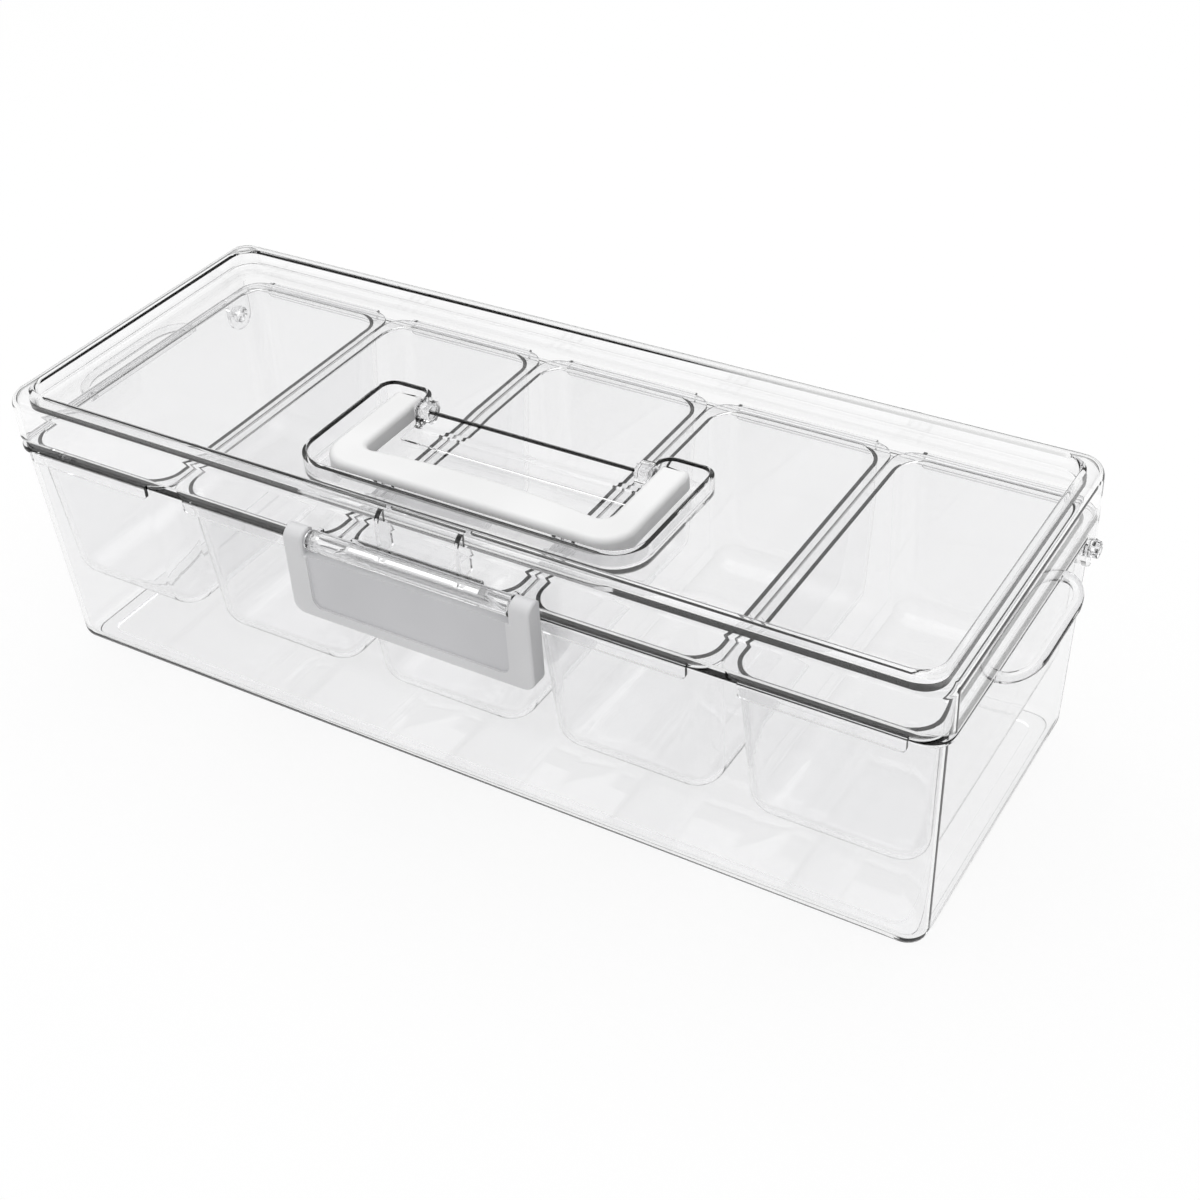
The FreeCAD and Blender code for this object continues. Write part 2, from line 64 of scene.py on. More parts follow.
# Moulded box whose foot is drawn in by the draft
def drafted(halfX, halfY, z0, z1, draftX, draftY):
    bm = centred(halfX, halfY, z0, z1)
    foot = [v for v in bm.verts if v.co.z < (z0 + z1) / 2]
    bmesh.ops.scale(bm, vec=((halfX - draftX) / halfX, (halfY - draftY) / halfY, 1.0), verts=foot)
    return bm


# Round bar along X, or a cone when the second radius differs
def rod(radius, x0, x1, y, z, tipRadius=None, sides=48):
    bm = bmesh.new()
    bmesh.ops.create_cone(bm, cap_ends=True, segments=sides, radius1=radius,
                          radius2=radius if tipRadius is None else tipRadius, depth=x1 - x0)
    bmesh.ops.rotate(bm, cent=(0, 0, 0), matrix=Matrix.Rotation(math.radians(90), 3, "Y"), verts=bm.verts)
    bmesh.ops.translate(bm, vec=((x0 + x1) / 2, y, z), verts=bm.verts)
    return bm


def mirrored(bm, axis=0):
    other = bm.copy()
    flip = [1.0, 1.0, 1.0]
    flip[axis] = -1.0
    bmesh.ops.scale(other, vec=flip, verts=other.verts)
    bmesh.ops.reverse_faces(other, faces=other.faces)
    return other


def near(a, b):
    return abs(a - b) < slack


def pick(bm, test):
    return [e for e in bm.edges if test(e.verts[0].co, e.verts[1].co)]


# Edges with both ends at the given coordinates, and with no change along the axes in "same"
def edgesAt(bm, same="", **places):
    return pick(bm, lambda a, b: all(near(getattr(a, k), p) and near(getattr(b, k), p) for k, p in places.items())
                and all(near(getattr(a, k), getattr(b, k)) for k in same))


def level(bm, z):
    return edgesAt(bm, z=z)


# Edges at one level that lie inside a centred rectangle
def levelInside(bm, z, halfX, halfY):
    return pick(bm, lambda a, b: near(a.z, z) and near(b.z, z) and max(abs(a.x), abs(b.x)) < halfX
                and max(abs(a.y), abs(b.y)) < halfY)


def uprights(bm):
    return pick(bm, lambda a, b: abs(a.z - b.z) > upright["rise"]
                and abs(a.x - b.x) + abs(a.y - b.y) < upright["lean"])


# Upright edges at a place and at its mirror image across the middle
def uprightsAt(bm, x, y):
    return pick(bm, lambda a, b: near(abs(a.x), x) and near(abs(b.x), x) and near(a.y, y) and near(b.y, y)
                and abs(a.z - b.z) > upright["rise"])


def roundOff(bm, edges, radius, steps):
    bmesh.ops.bevel(bm, geom=edges, offset=radius, offset_type="OFFSET", affect="EDGES", segments=steps,
                    profile=0.5, material=-1)
    return bm


# After a cut the flat faces have many corners, so they are split up before their edges are rounded
def roundCut(bm, edges, radius, steps):
    edges = [e for e in edges if len(e.link_faces) == 2 and e.calc_face_angle() > crease]
    wide = dict.fromkeys(f for e in edges for f in e.link_faces if len(f.verts) > 4)
    bmesh.ops.triangulate(bm, faces=list(wide), ngon_method="BEAUTY")
    return roundOff(bm, edges, radius, steps)


# One moulding out of several: joins and cuts are carried out in the order given
def carve(base, *steps):
    def shop(bm, label):
        mesh = bpy.data.meshes.new(label)
        bm.to_mesh(mesh)
        bm.free()
        obj = bpy.data.objects.new(label, mesh)
        scene.collection.objects.link(obj)
        return obj
    body = shop(base, "blank")
    tools = []
    for operation, bm in steps:
        tool = shop(bm, "tool")
        tools.append(tool)
        mod = body.modifiers.new("step", "BOOLEAN")
        mod.operation = operation
        mod.solver = "EXACT"
        mod.object = tool
    bpy.context.view_layer.update()
    graph = bpy.context.evaluated_depsgraph_get()
    mesh = bpy.data.meshes.new_from_object(body.evaluated_get(graph))
    made = bmesh.new()
    made.from_mesh(mesh)
    bpy.data.meshes.remove(mesh)
    for obj in [body] + tools:
        data = obj.data
        bpy.data.objects.remove(obj)
        bpy.data.meshes.remove(data)
    bmesh.ops.remove_doubles(made, verts=made.verts, dist=weld)
    return made


# A finished piece: scaled to metres, given its look, and tied to the CAD body, with the CAD node that it stands for
# hidden
def place(bm, name, body, node, mat, sharp=32):
    bmesh.ops.dissolve_degenerate(bm, edges=bm.edges, dist=weld)
    bmesh.ops.recalc_face_normals(bm, faces=bm.faces)
    openEdges = sum(1 for e in bm.edges if len(e.link_faces) != 2)
    bmesh.ops.translate(bm, vec=(0, middle, 0), verts=bm.verts)
    bmesh.ops.scale(bm, vec=(mm, mm, mm), verts=bm.verts)
    mesh = bpy.data.meshes.new(name)
    bm.to_mesh(mesh)
    bm.free()
    mesh.shade_smooth()
    mesh.set_sharp_from_angle(angle=math.radians(sharp))
    mesh.materials.append(mat)
    piece = bpy.data.objects.new(name, mesh)
    scene.collection.objects.link(piece)
    evenOut = piece.modifiers.new("flatFaces", "WEIGHTED_NORMAL")
    evenOut.keep_sharp = True
    evenOut.weight = 100
    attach(piece, body)
    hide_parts(node)
    print(name, len(mesh.polygons), "faces", openEdges, "open edges")
    return piece


def newMaterial(name):
    mat = bpy.data.materials.new(name)
    mat.use_nodes = True
    mat.node_tree.nodes.clear()
    return mat, mat.node_tree


# Shader node with its constant inputs set
def addNode(tree, kind, constants=()):
    made = tree.nodes.new("ShaderNode" + kind)
    for socket, value in dict(constants).items():
        made.inputs[socket].default_value = value
    return made


# Math node on numbers or on other nodes' outputs
def maths(tree, operation, *values):
    made = tree.nodes.new("ShaderNodeMath")
    made.operation = operation
    for socket, value in zip(made.inputs, values):
        if isinstance(value, bpy.types.NodeSocket):
            tree.links.new(value, socket)
        else:
            socket.default_value = value
    return made.outputs[0]


# One shader where the factor is 0 and the other where it is 1, sent to the output
def mixOut(tree, factor, first, second, output="OutputMaterial"):
    mix = addNode(tree, "MixShader")
    tree.links.new(factor, mix.inputs["Fac"])
    tree.links.new(first.outputs[0], mix.inputs[1])
    tree.links.new(second.outputs[0], mix.inputs[2])
    tree.links.new(mix.outputs[0], addNode(tree, output).inputs["Surface"])


# Clear moulded plastic: refracting walls with a faint ripple, which let lamp light through to what is inside
def clearPlastic(name, look):
    mat, tree = newMaterial(name)
    link = tree.links.new
    shader = addNode(tree, "BsdfPrincipled", {"Base Color": (*look["tint"], 1.0), "Transmission Weight": 1.0,
                                              "IOR": look["ior"], "Roughness": look["roughness"]})
    coords = addNode(tree, "TexCoord")
    ripple = addNode(tree, "TexNoise", {"Scale": look["rippleScale"], "Detail": look["rippleDetail"]})
    bump = addNode(tree, "Bump", {"Strength": look["ripple"], "Distance": look["rippleDepth"]})
    link(coords.outputs["Object"], ripple.inputs["Vector"])
    link(ripple.outputs["Fac"], bump.inputs["Height"])
    link(bump.outputs["Normal"], shader.inputs["Normal"])

    straight = addNode(tree, "BsdfTransparent", {"Color": (*look["shadowTint"], 1.0)})
    path = addNode(tree, "LightPath").outputs
    lamplight = maths(tree, "MAXIMUM", path["Is Shadow Ray"], path["Is Diffuse Ray"])
    deep = maths(tree, "GREATER_THAN", path["Ray Depth"], look["walls"])  # the renderer would end these in black
    mixOut(tree, maths(tree, "MAXIMUM", lamplight, deep), shader, straight)
    return mat


# White moulded plastic with a fine satin grain and slight clouding of its tone, and, where the look gives a dish,
# painted shade that darkens the sunk dish floor
def whitePlastic(name, look):
    mat, tree = newMaterial(name)
    link = tree.links.new
    shader = addNode(tree, "BsdfPrincipled", {"Specular IOR Level": look["specular"]})
    spot = addNode(tree, "TexCoord").outputs["Object"]
    cloud = addNode(tree, "TexNoise", {"Scale": look["cloudScale"], "Detail": look["cloudDetail"]})
    tone = addNode(tree, "ValToRGB")
    for element, key in zip(tone.color_ramp.elements, ("shade", "light")):
        element.color = (*look[key], 1.0)
    for element, key in zip(tone.color_ramp.elements, ("shadeAt", "lightAt")):
        element.position = look[key]
    grain = addNode(tree, "TexNoise", {"Scale": look["grainScale"], "Detail": look["grainDetail"]})
    gloss = addNode(tree, "MapRange", {"To Min": look["roughness"] - look["glossSpread"],
                                       "To Max": look["roughness"] + look["glossSpread"]})
    bump = addNode(tree, "Bump", {"Strength": look["grainBump"], "Distance": look["grainDepth"]})
    link(spot, cloud.inputs["Vector"])
    link(spot, grain.inputs["Vector"])
    link(cloud.outputs["Fac"], tone.inputs["Fac"])
    color = tone.outputs["Color"]
    # painted shade: the floor of the latch's sunk dish is multiplied darker, standing in for the shade in that
    # recess
    if "dish" in look:
        dish = look["dish"]
        split = addNode(tree, "SeparateXYZ")
        link(spot, split.inputs[0])
        across = maths(tree, "ABSOLUTE", split.outputs["X"])
        between = maths(tree, "LESS_THAN", across, dish["half"])
        sunk = maths(tree, "COMPARE", split.outputs["Y"], dish["depth"], dish["slack"])
        paintedDishShade = addNode(tree, "Mix")
        paintedDishShade.data_type = "RGBA"
        paintedDishShade.blend_type = "MULTIPLY"
        paintedDishShade.inputs["B"].default_value = (*dish["tone"], 1.0)
        link(maths(tree, "MULTIPLY", between, sunk), paintedDishShade.inputs["Factor"])
        link(color, paintedDishShade.inputs["A"])
        color = paintedDishShade.outputs["Result"]
    link(color, shader.inputs["Base Color"])
    link(grain.outputs["Fac"], gloss.inputs["Value"])
    link(gloss.outputs["Result"], shader.inputs["Roughness"])
    link(grain.outputs["Fac"], bump.inputs["Height"])
    link(bump.outputs["Normal"], shader.inputs["Normal"])
    link(shader.outputs[0], addNode(tree, "OutputMaterial").inputs["Surface"])
    return mat


clearLook = {"tint": (0.993, 0.993, 0.994), "ior": 1.49, "roughness": 0.0, "ripple": 0.15, "rippleScale": 14.0,
             "rippleDetail": 1.0, "rippleDepth": 0.001, "shadowTint": (0.915, 0.915, 0.918), "walls": 9.5}
tubClear = clearPlastic("clearTub", {**clearLook, "tint": (0.944, 0.944, 0.947)})
lidClear = clearPlastic("clearLid", clearLook)
containerClear = clearPlastic("clearContainer", {**clearLook, "tint": (0.986, 0.986, 0.988)})
pinClear = clearPlastic("clearPin", clearLook)
whiteLook = {"specular": 0.5, "cloudScale": 22.0, "cloudDetail": 2.0, "shadeAt": 0.35, "lightAt": 0.65,
             "grainDetail": 3.0, "grainBump": 0.12, "grainDepth": 0.0002, "glossSpread": 0.05}
handleWhite = whitePlastic("whiteHandle", {**whiteLook, "shade": (0.80, 0.80, 0.80), "light": (0.86, 0.86, 0.86),
                                           "grainScale": 900.0, "roughness": 0.34})
# the latch's white is set darker than the handle's: partly a greyer plastic, partly painted shade for the less
# light that reaches its front-facing faces
latchWhite = whitePlastic("whiteLatch", {**whiteLook, "shade": (0.68, 0.68, 0.69), "light": (0.73, 0.73, 0.74),
                                         "grainScale": 1100.0, "roughness": 0.42,
                                         # the dish tone is painted shade for the latch's sunk dish, not a colour of
                                         # the plastic
                                         "dish": {"half": 0.0432, "depth": -0.08015, "slack": 0.00015,
                                                  "tone": (0.90, 0.90, 0.91)}})
print("materials ready")

# Containers, sizes in mm
container = {"halfX": 36.2, "halfY": 71.8, "bottom": 32.5, "top": 101.6, "draftX": 2.5, "draftY": 5.2,
             "corner": 11.6, "wall": 1.6, "floor": 1.8, "wallLap": 0.7, "flangeX": 39.2, "flangeY": 75.0,
             "flangeLow": 100.1, "flangeCorner": 9.25, "flangeEdge": 0.4, "skirtX": 29.95, "skirtRoot": 4.6,
             "skirtIn": 75.3, "skirtOut": 76.9, "skirtLow": 95.8, "skirtCorner": 1.6, "skirtShoulder": 1.0,
             "underX": 40, "underBack": 60, "underLow": 90, "lip": 0.8, "pitch": 78.9, "count": 5,
             "steps": {"corner": 14, "flange": 9, "edge": 3, "skirt": 5, "shoulder": 4, "lip": 4}}


def makeSkirt(c):
    steps = c["steps"]
    bm = block((-c["skirtX"], c["flangeY"] - c["skirtRoot"], c["skirtLow"]), (c["skirtX"], c["skirtOut"], c["top"]))
    roundOff(bm, edgesAt(bm, same="x", z=c["skirtLow"]), c["skirtCorner"], steps["skirt"])
    roundOff(bm, edgesAt(bm, y=c["skirtOut"], z=c["top"]), c["skirtShoulder"], steps["shoulder"])
    under = block((-c["underX"], c["underBack"], c["underLow"]), (c["underX"], c["skirtIn"], c["flangeLow"]))
    return carve(bm, ("DIFFERENCE", under))


def makeContainer(c):
    steps, draft, inside = c["steps"], (c["draftX"], c["draftY"]), c["bottom"] + c["floor"]
    outer = drafted(c["halfX"], c["halfY"], c["bottom"], c["top"] - c["wallLap"], *draft)
    roundOff(outer, uprights(outer) + level(outer, c["bottom"]), c["corner"], steps["corner"])
    inner = drafted(c["halfX"] - c["wall"], c["halfY"] - c["wall"], inside, c["top"] + c["wallLap"], *draft)
    roundOff(inner, uprights(inner) + level(inner, inside), c["corner"] - c["wall"], steps["corner"])
    flange = centred(c["flangeX"], c["flangeY"], c["flangeLow"], c["top"])
    roundOff(flange, uprights(flange), c["flangeCorner"], steps["flange"])
    roundOff(flange, level(flange, c["top"]) + level(flange, c["flangeLow"]), c["flangeEdge"], steps["edge"])
    back = makeSkirt(c)
    front = mirrored(back, 1)
    bm = carve(outer, ("UNION", flange), ("UNION", back), ("UNION", front), ("DIFFERENCE", inner))
    opening = levelInside(bm, c["top"], c["halfX"] - lap, c["halfY"] - lap)
    return roundCut(bm, opening, c["lip"], steps["lip"])


oneContainer = makeContainer(container)
for index in range(container["count"]):
    bm = oneContainer.copy()
    shift = (index - (container["count"] - 1) / 2) * container["pitch"]
    bmesh.ops.translate(bm, vec=(shift, 0, 0), verts=bm.verts)
    node = "container_%d" % (index + 1)
    place(bm, "container%dShell" % (index + 1), node, node, containerClear)
oneContainer.free()

# Ice tub with its rim, foot ring, loop grips, hinge studs and latch catches
tub = {"halfX": 197.7, "halfY": 74.2, "foot": 1.5, "top": 100.0, "draftX": 2.85, "draftY": 3.3, "corner": 8.5,
       "baseRound": 5.0, "wall": 2.0, "floorTop": 4.0, "insideRound": 4.0, "rimX": 200.0, "rimY": 75.0,
       "rimLow": 97.8, "rimCorner": 10.0, "rimEdge": 0.7, "ringX": 190.35, "ringY": 66.4, "ringTop": 2.75,
       "ringWidth": 6.0, "ringCorner": 8.0, "ringEdge": 0.7, "gripOut": 211.4, "gripHalf": 33.0, "gripLean": 1.7,
       "gripBar": 4.2, "gripRoot": 1.4, "gripLow": 96.4, "gripTop": 99.96, "gripEdge": 1.5, "gripHair": 0.01,
       "holeLow": 90, "holeTop": 110, "hingeY": 62.5, "hingeZ": 90.0, "stud": 3.5, "studHead": 3.85,
       "studTip": 3.15, "studRoot": 196.2, "studNeck": 200.3, "studLap": 0.3, "studEnd": 202.7, "slot": 0.5,
       "slotRoot": 198.1, "slotEnd": 210, "slotReach": 6, "notchFront": 54.5, "notchLow": 95,
       "notchEnd": (205, 80, 105), "catchX": 39.45, "catchHalf": 6, "catchLow": 84.4, "catchHigh": 4.2,
       "catchFront": -75.3, "catchRound": 2.4,
       "steps": {"corner": 16, "base": 10, "rimCorner": 10, "rimEdge": 4, "ringCorner": 8, "ringEdge": 3,
                 "grip": 18, "gripEdge": 5, "catch": 4}}


# D-shaped loop whose corners run out longer than they are deep
def makeGrip(t):
    lean, out, rim, steps = t["gripLean"], t["gripOut"], t["rimX"], t["steps"]
    half = t["gripHalf"] / lean
    holeHalf = (t["gripHalf"] - t["gripBar"]) / lean
    holeOut = out - t["gripBar"]
    reach = out - rim
    loop = block((t["halfX"], -half, t["gripLow"]), (out, half, t["gripTop"]))
    roundOff(loop, uprightsAt(loop, out, half) + uprightsAt(loop, out, -half), reach, steps["grip"])
    hole = block((rim - t["gripRoot"], -holeHalf, t["holeLow"]), (holeOut, holeHalf, t["holeTop"]))
    roundOff(hole, uprightsAt(hole, holeOut, holeHalf) + uprightsAt(hole, holeOut, -holeHalf),
             reach - t["gripBar"], steps["grip"])
    loop = carve(loop, ("DIFFERENCE", hole))
    bmesh.ops.scale(loop, vec=(1.0, lean, 1.0), verts=loop.verts)
    edges = [e for e in level(loop, t["gripLow"]) + level(loop, t["gripTop"])
             if min(v.co.x for v in e.verts) > rim - t["gripHair"]
             and max(v.co.x for v in e.verts) > rim + t["gripHair"]]
    return roundCut(loop, edges, t["gripEdge"], steps["gripEdge"])


# Hinge stud with a snap head, split crosswise
def makeStud(t):
    y, z, slot, reach, root, end = (t[k] for k in ("hingeY", "hingeZ", "slot", "slotReach", "slotRoot", "slotEnd"))
    head = rod(t["studHead"], t["studNeck"], t["studEnd"], y, z, t["studTip"])
    return carve(rod(t["stud"], t["studRoot"], t["studNeck"] + t["studLap"], y, z), ("UNION", head),
                 ("DIFFERENCE", block((root, y - slot, z - reach), (end, y + slot, z + reach))),
                 ("DIFFERENCE", block((root, y - reach, z - slot), (end, y + reach, z + slot))))


def makeCatch(t):
    x, low, front, half = t["catchX"], t["catchLow"], t["catchFront"], t["catchHalf"]
    high = low + t["catchHigh"]
    bm = block((x - half, front, low), (x + half, t["wall"] - t["halfY"], high))
    return roundOff(bm, edgesAt(bm, y=front, z=high), t["catchRound"], t["steps"]["catch"])


def makeTub(t):
    steps, draft, wall = t["steps"], (t["draftX"], t["draftY"]), t["wall"]
    outer = drafted(t["halfX"], t["halfY"], t["foot"], t["top"] - lap, *draft)
    roundOff(outer, uprights(outer), t["corner"], steps["corner"])
    roundOff(outer, level(outer, t["foot"]), t["baseRound"], steps["base"])
    inner = drafted(t["halfX"] - wall, t["halfY"] - wall, t["floorTop"], t["top"] + lap, *draft)
    roundOff(inner, uprights(inner), t["corner"] - wall, steps["corner"])
    roundOff(inner, level(inner, t["floorTop"]), t["insideRound"], steps["base"])
    rim = centred(t["rimX"], t["rimY"], t["rimLow"], t["top"])
    roundOff(rim, uprights(rim), t["rimCorner"], steps["rimCorner"])
    roundOff(rim, level(rim, t["top"]) + level(rim, t["rimLow"]), t["rimEdge"], steps["rimEdge"])
    notch = block((t["halfX"], t["notchFront"], t["notchLow"]), t["notchEnd"])
    ring = centred(t["ringX"], t["ringY"], 0.0, t["ringTop"])
    roundOff(ring, uprights(ring), t["ringCorner"], steps["ringCorner"])
    roundOff(ring, level(ring, 0.0), t["ringEdge"], steps["ringEdge"])
    hollow = centred(t["ringX"] - t["ringWidth"], t["ringY"] - t["ringWidth"], -lap, t["foot"])
    roundOff(hollow, uprights(hollow), t["ringCorner"] - t["ringWidth"] / 2, steps["ringCorner"])
    rim = carve(rim, ("DIFFERENCE", mirrored(notch)), ("DIFFERENCE", notch))
    grip, stud, catch = makeGrip(t), makeStud(t), makeCatch(t)
    otherGrip, otherStud, otherCatch = mirrored(grip), mirrored(stud), mirrored(catch)
    return carve(outer, ("UNION", rim), ("UNION", ring), ("UNION", grip), ("UNION", otherGrip),
                 ("UNION", catch), ("UNION", otherCatch), ("DIFFERENCE", inner), ("DIFFERENCE", hollow),
                 ("UNION", stud), ("UNION", otherStud))


place(makeTub(tub), "tubShell", "tub", "base_tub", tubClear)

# Lid with its raised bead, sunk panel, handle pocket, hinge ears and the rail that carries the latch
lid = {"halfX": 200.0, "halfY": 75.0, "low": 100.3, "top": 123.2, "deep": 60, "over": 8, "corner": 10.0,
       "shoulder": 6.0, "panelX": 192.4, "panelY": 67.4, "panelTop": 117.2, "panelUnder": 115.0,
       "panelCorner": 9.0, "panelRound": 0.8, "lip": 1.3, "lipReach": 0.1, "innerX": 198.0, "innerY": 72.8,
       "innerCorner": 8.0, "channelTop": 121.0, "channelRound": 3.8, "coreX": 194.4, "coreY": 69.4,
       "frontLow": 103.5, "cornerY": 65.0, "climbRun": 8.0, "climbLap": 0.05, "past": 5, "trimFront": -95,
       "trimLow": 80, "trimY": 90, "trimDeep": 50, "sweep": 19.63, "sweepGap": 0.1, "hingeY": 62.5,
       "hingeZ": 90.0, "ear": 7.0, "earTop": 106.3, "earHair": 0.01, "studHole": 3.56, "pocketX": 73.0,
       "pocketFront": -50.5, "pocketBack": 11.0, "pocketFloor": 107.2, "pocketWall": 2.0, "pocketCorner": 13.0,
       "pocketRound": 3.0, "pocketOver": 3.0, "lobeCorner": 5.0, "tongueX": 52.5, "tongueFront": -2.0,
       "tongueCorner": 1.5, "floorRound": 2.6, "mouthRound": 0.6, "stepWidth": 9.5, "stepHeight": 0.8,
       "stepLap": 4, "railY": -80.4, "railZ": 106.3, "railRise": 0.05, "barrel": 4.0, "barrelX": 43.8,
       "barrelEdge": 0.5, "webX": 28.5, "webTop": 108.5, "webEdge": 0.6, "cheek": 2.8, "cheekIn": 0.5,
       "axleHole": 2.03, "ribX": 17.2, "ribHalf": 1.0, "ribBack": -66.0, "ribLow": 104.4, "ribLap": 0.4,
       "ribUpperLap": 0.3, "pinY": 3.2, "pinZ": 112.8, "pinBoss": 4.0, "bossLap": 0.5, "pinHole": 2.23,
       "pinEnd": 46.0,
       "steps": {"corner": 12, "shoulder": 10, "panel": 4, "lip": 5, "channel": 8, "lobe": 8, "tongue": 4,
                 "pocket": 5, "edge": 3},
       "sides": {"barrel": 64, "sweep": 96}}


# The pocket's plan: a rectangle with the panel's tongue reaching in from the back
def pocketPlan(l, grow, z0, z1):
    half, front, back = l["pocketX"] + grow, l["pocketFront"] - grow, l["pocketBack"] + grow
    side, tongue, steps = l["tongueX"] - grow, l["tongueFront"] + grow, l["steps"]
    bm = carve(block((-half, front, z0), (half, back, z1)),
               ("DIFFERENCE", block((-side, tongue, z0 - lap), (side, back + lap, z1 + lap))))
    roundOff(bm, uprightsAt(bm, half, front), l["pocketCorner"] + grow, steps["corner"])
    roundOff(bm, uprightsAt(bm, half, back) + uprightsAt(bm, side, back), l["lobeCorner"] + grow, steps["lobe"])
    return roundOff(bm, uprightsAt(bm, side, tongue), l["tongueCorner"], steps["tongue"])


# Barrel in front that the latch swings on, with the web and cheeks that hold it
def makeRail(l):
    y, z, end, steps = l["railY"], l["railZ"], l["barrelX"], l["steps"]
    barrel = rod(l["barrel"], -end, end, y, z, sides=l["sides"]["barrel"])
    roundOff(barrel, edgesAt(barrel, same="x"), l["barrelEdge"], steps["edge"])
    wall, low = lap - l["halfY"], l["frontLow"] + l["railRise"]
    web = block((-l["webX"], y, low), (l["webX"], wall, l["webTop"]))
    cheek = block((end - l["cheek"], y, low), (end - l["cheekIn"], wall, l["webTop"]))
    for bm in (web, cheek):
        roundOff(bm, level(bm, l["webTop"]), l["webEdge"], steps["edge"])
    otherCheek = mirrored(cheek)
    return carve(barrel, ("UNION", web), ("UNION", cheek), ("UNION", otherCheek))


# What is cut away below the lid: its lower edge climbs round the corners, and the ears are spared
def makeTrim(l, past):
    y0, z0, top = l["trimFront"], l["trimLow"], l["frontLow"]
    behind = l["hingeY"] - l["ear"] + l["earHair"]
    ahead = l["hingeY"] + l["ear"] - l["earHair"]
    ridge = -l["cornerY"] - l["climbRun"]
    climb = block((-past, y0, z0), (past, lap - l["cornerY"], top))
    for v in climb.verts:
        if near(v.co.y, y0):
            v.co.y = ridge - l["climbLap"]
        elif near(v.co.z, top):
            v.co.z = l["low"] - l["climbLap"]
    crest = block((-past, y0, z0), (past, ridge, top))
    otherClimb, otherCrest = mirrored(climb, 1), mirrored(crest, 1)
    wide = past + l["past"]
    return carve(block((-past, -l["trimY"], l["trimDeep"]), (past, l["trimY"], l["low"])),
                 ("UNION", crest), ("UNION", climb), ("UNION", otherCrest), ("UNION", otherClimb),
                 ("DIFFERENCE", block((-wide, behind, l["hingeZ"]), (wide, ahead, l["earTop"]))),
                 ("DIFFERENCE", rod(l["ear"], -wide, wide, l["hingeY"], l["hingeZ"])))


def makeRib(l):
    left, right = l["ribX"] - l["ribHalf"], l["ribX"] + l["ribHalf"]
    lower = block((left, -l["innerY"] - l["ribLap"], l["ribLow"]),
                  (right, l["ribBack"], l["panelUnder"] + l["ribLap"]))
    upper = block((left, -l["innerY"] - l["ribUpperLap"], l["panelUnder"] - lap),
                  (right, -l["coreY"] + l["ribLap"], l["channelTop"] + l["ribLap"]))
    return carve(lower, ("UNION", upper))


def makeLid(l):
    steps, past = l["steps"], l["halfX"] + l["past"]
    outer = centred(l["halfX"], l["halfY"], l["deep"], l["top"])
    roundOff(outer, uprights(outer), l["corner"], steps["corner"])
    roundOff(outer, level(outer, l["top"]), l["shoulder"], steps["shoulder"])
    recess = centred(l["panelX"], l["panelY"], l["panelTop"], l["top"] + l["over"])
    roundOff(recess, uprights(recess), l["panelCorner"], steps["corner"])
    roundOff(recess, level(recess, l["panelTop"]), l["panelRound"], steps["panel"])
    shell = carve(outer, ("DIFFERENCE", recess))
    lip = levelInside(shell, l["top"], l["panelX"] + l["lipReach"], l["panelY"] + l["lipReach"])
    roundCut(shell, lip, l["lip"], steps["lip"])

    hollow = centred(l["innerX"], l["innerY"], l["deep"], l["channelTop"])
    roundOff(hollow, uprights(hollow), l["innerCorner"], steps["corner"])
    roundOff(hollow, level(hollow, l["channelTop"]), l["channelRound"], steps["channel"])
    core = centred(l["coreX"], l["coreY"], l["panelUnder"], l["top"] + l["over"])
    roundOff(core, uprights(core), l["panelCorner"], steps["corner"])
    roundOff(core, level(core, l["panelUnder"]), l["panelRound"], steps["panel"])
    hollow = carve(hollow, ("DIFFERENCE", core))
    reliefEnd = l["innerX"] - l["sweepGap"]
    relief = rod(l["sweep"], -reliefEnd, reliefEnd, l["hingeY"], l["hingeZ"], sides=l["sides"]["sweep"])
    shell = carve(shell, ("DIFFERENCE", makeTrim(l, past)), ("DIFFERENCE", hollow), ("DIFFERENCE", relief))

    floor, under = l["pocketFloor"], l["pocketFloor"] - l["pocketWall"]
    pocket = pocketPlan(l, l["pocketWall"], under, l["panelTop"] - lap)
    roundOff(pocket, level(pocket, under), l["pocketRound"], steps["pocket"])
    cavity = pocketPlan(l, 0.0, floor, l["panelTop"] + l["pocketOver"])
    roundOff(cavity, level(cavity, floor), l["floorRound"], steps["pocket"])
    step = block((-l["tongueX"], l["tongueFront"] - l["stepWidth"], floor - lap),
                 (l["tongueX"], l["tongueFront"] + l["stepLap"], floor + l["stepHeight"]))
    cavity = carve(cavity, ("DIFFERENCE", step))
    rib = makeRib(l)
    otherRib = mirrored(rib)
    boss = rod(l["pinBoss"], l["pinEnd"], l["tongueX"] - l["bossLap"], l["pinY"], l["pinZ"])
    otherBoss = mirrored(boss)
    pinHole = rod(l["pinHole"], l["pinEnd"] - lap, l["tongueX"] + lap, l["pinY"], l["pinZ"])
    otherPinHole = mirrored(pinHole)
    axleEnd = l["barrelX"] + lap
    shell = carve(shell, ("UNION", pocket), ("UNION", makeRail(l)), ("UNION", rib), ("UNION", otherRib),
                  ("UNION", boss), ("UNION", otherBoss), ("DIFFERENCE", cavity), ("DIFFERENCE", pinHole),
                  ("DIFFERENCE", otherPinHole),
                  ("DIFFERENCE", rod(l["studHole"], -past, past, l["hingeY"], l["hingeZ"])),
                  ("DIFFERENCE", rod(l["axleHole"], -axleEnd, axleEnd, l["railY"], l["railZ"])))
    mouth = [e for e in level(shell, l["panelTop"])
             if max(abs(v.co.x) for v in e.verts) < l["pocketX"] + l["lipReach"]
             and max(v.co.y for v in e.verts) < l["pocketBack"] + l["lipReach"]]
    return roundCut(shell, mouth, l["mouthRound"], steps["edge"])


place(makeLid(lid), "lidShell", "lid", "lid", lidClear)

